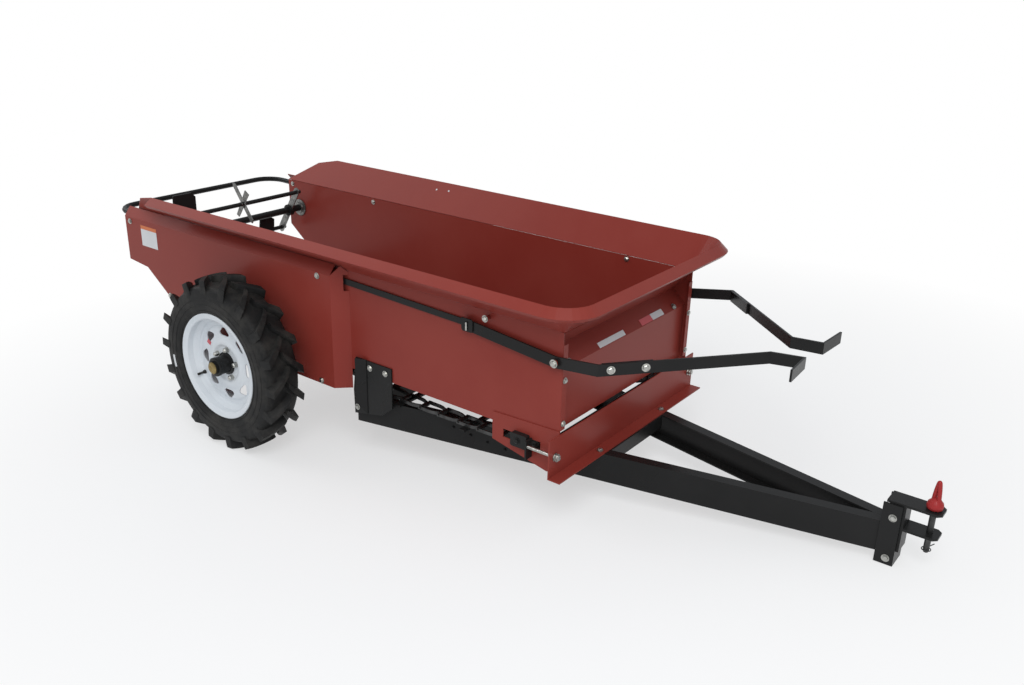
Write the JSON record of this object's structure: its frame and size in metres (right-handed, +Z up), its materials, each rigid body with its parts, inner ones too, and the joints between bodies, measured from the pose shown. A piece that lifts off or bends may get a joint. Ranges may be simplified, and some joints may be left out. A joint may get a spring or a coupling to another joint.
{
  "type": "manure spreader",
  "caption": "Small ground-driven manure spreader with a flared open tub, side wheels, an A-frame drawbar, hand levers and a rear beater.",
  "frame": {"origin": "on the floor, under the centre of the bounding box, with the machine parked on its wheels and the foot of the hitch bracket", "axes": "+Z up, -Y towards the hitch, +X to the left of the machine"},
  "size_m": [1.358, 3.431, 0.9188],
  "materials": {
    "red": "semi-gloss",
    "black": "semi-gloss",
    "white": "gloss",
    "rubber": "matt",
    "zinc": "satin",
    "steel": "dull",
    "grip_red": "dipped"
  },
  "bodies": {
    "chassis": {"apron": "steel", "axle": "steel", "axle_hanger_left": "black", "axle_hanger_right": "black", "beater_bearing_left": "zinc", "beater_bearing_right": "zinc", "bed_floor": "red", "chain_cover_left": "red", "chain_cover_right": "red", "drawbar_rail_left": "black", "drawbar_rail_right": "black", "flare_rim": "red", "frame_bracket_left": "black", "frame_bracket_right": "black", "front_angle": "red", "front_apron_shaft": "steel", "front_cross_member": "black", "front_panel": "red", "guard_hoop": "black", "hitch_bracket": "black", "hitch_clevis": "black", "rear_apron_shaft": "steel", "rear_cross_member": "black", "side_wall_left": "red", "side_wall_right": "red", "takeup_left": "black", "takeup_plate_left": "red", "takeup_plate_right": "red", "takeup_right": "black"},
    "wheel_right": {"tyre_right": "rubber", "rim_right": "white", "hub_right": "black"},
    "wheel_left": {"tyre_left": "rubber", "rim_left": "white", "hub_left": "black"},
    "beater": {"beater": "black"},
    "lever_right": {"control_lever_right": "black"},
    "lever_left": {"control_lever_left": "black"},
    "link_right": {"control_link_right": "black"},
    "link_left": {"control_link_left": "black"},
    "hitch_pin": {"hitch_pin": "grip_red"}
  },
  "joints": [
    {"name": "wheel_right_spin", "type": "hinge", "parent": "chassis", "child": "wheel_right", "pos_m": [-0.593, 0.77777, 0.3435], "axis": [1, 0, 0], "continuous": true},
    {"name": "wheel_left_spin", "type": "hinge", "parent": "chassis", "child": "wheel_left", "pos_m": [0.593, 0.77777, 0.3435], "axis": [1, 0, 0], "continuous": true},
    {"name": "beater_spin", "type": "hinge", "parent": "chassis", "child": "beater", "pos_m": [0, 1.48004, 0.69012], "axis": [1, 0, 0], "continuous": true},
    {"name": "lever_right_pivot", "type": "hinge", "parent": "chassis", "child": "lever_right", "pos_m": [-0.4317, -0.64865, 0.58578], "axis": [1, 0, 0], "range_deg": [-7, 3]},
    {"name": "link_right_pivot", "type": "hinge", "parent": "lever_right", "child": "link_right", "pos_m": [-0.4225, -0.28869, 0.64492], "axis": [1, 0, 0], "range_deg": [-5, 11]},
    {"name": "lever_left_pivot", "type": "hinge", "parent": "chassis", "child": "lever_left", "pos_m": [0.4317, -0.64865, 0.58578], "axis": [1, 0, 0], "range_deg": [-7, 3]},
    {"name": "link_left_pivot", "type": "hinge", "parent": "lever_left", "child": "link_left", "pos_m": [0.4225, -0.28869, 0.64492], "axis": [1, 0, 0], "range_deg": [-5, 11]},
    {"name": "hitch_pin_lift", "type": "slide", "parent": "chassis", "child": "hitch_pin", "axis": [0, -0.0639, 0.998], "range_m": [0, 0.15]}
  ],
  "couplings": [
    {"joint": "link_right_pivot", "follows": "lever_right_pivot", "ratio": -1.4894},
    {"joint": "link_left_pivot", "follows": "lever_left_pivot", "ratio": -1.4894}
  ]
}
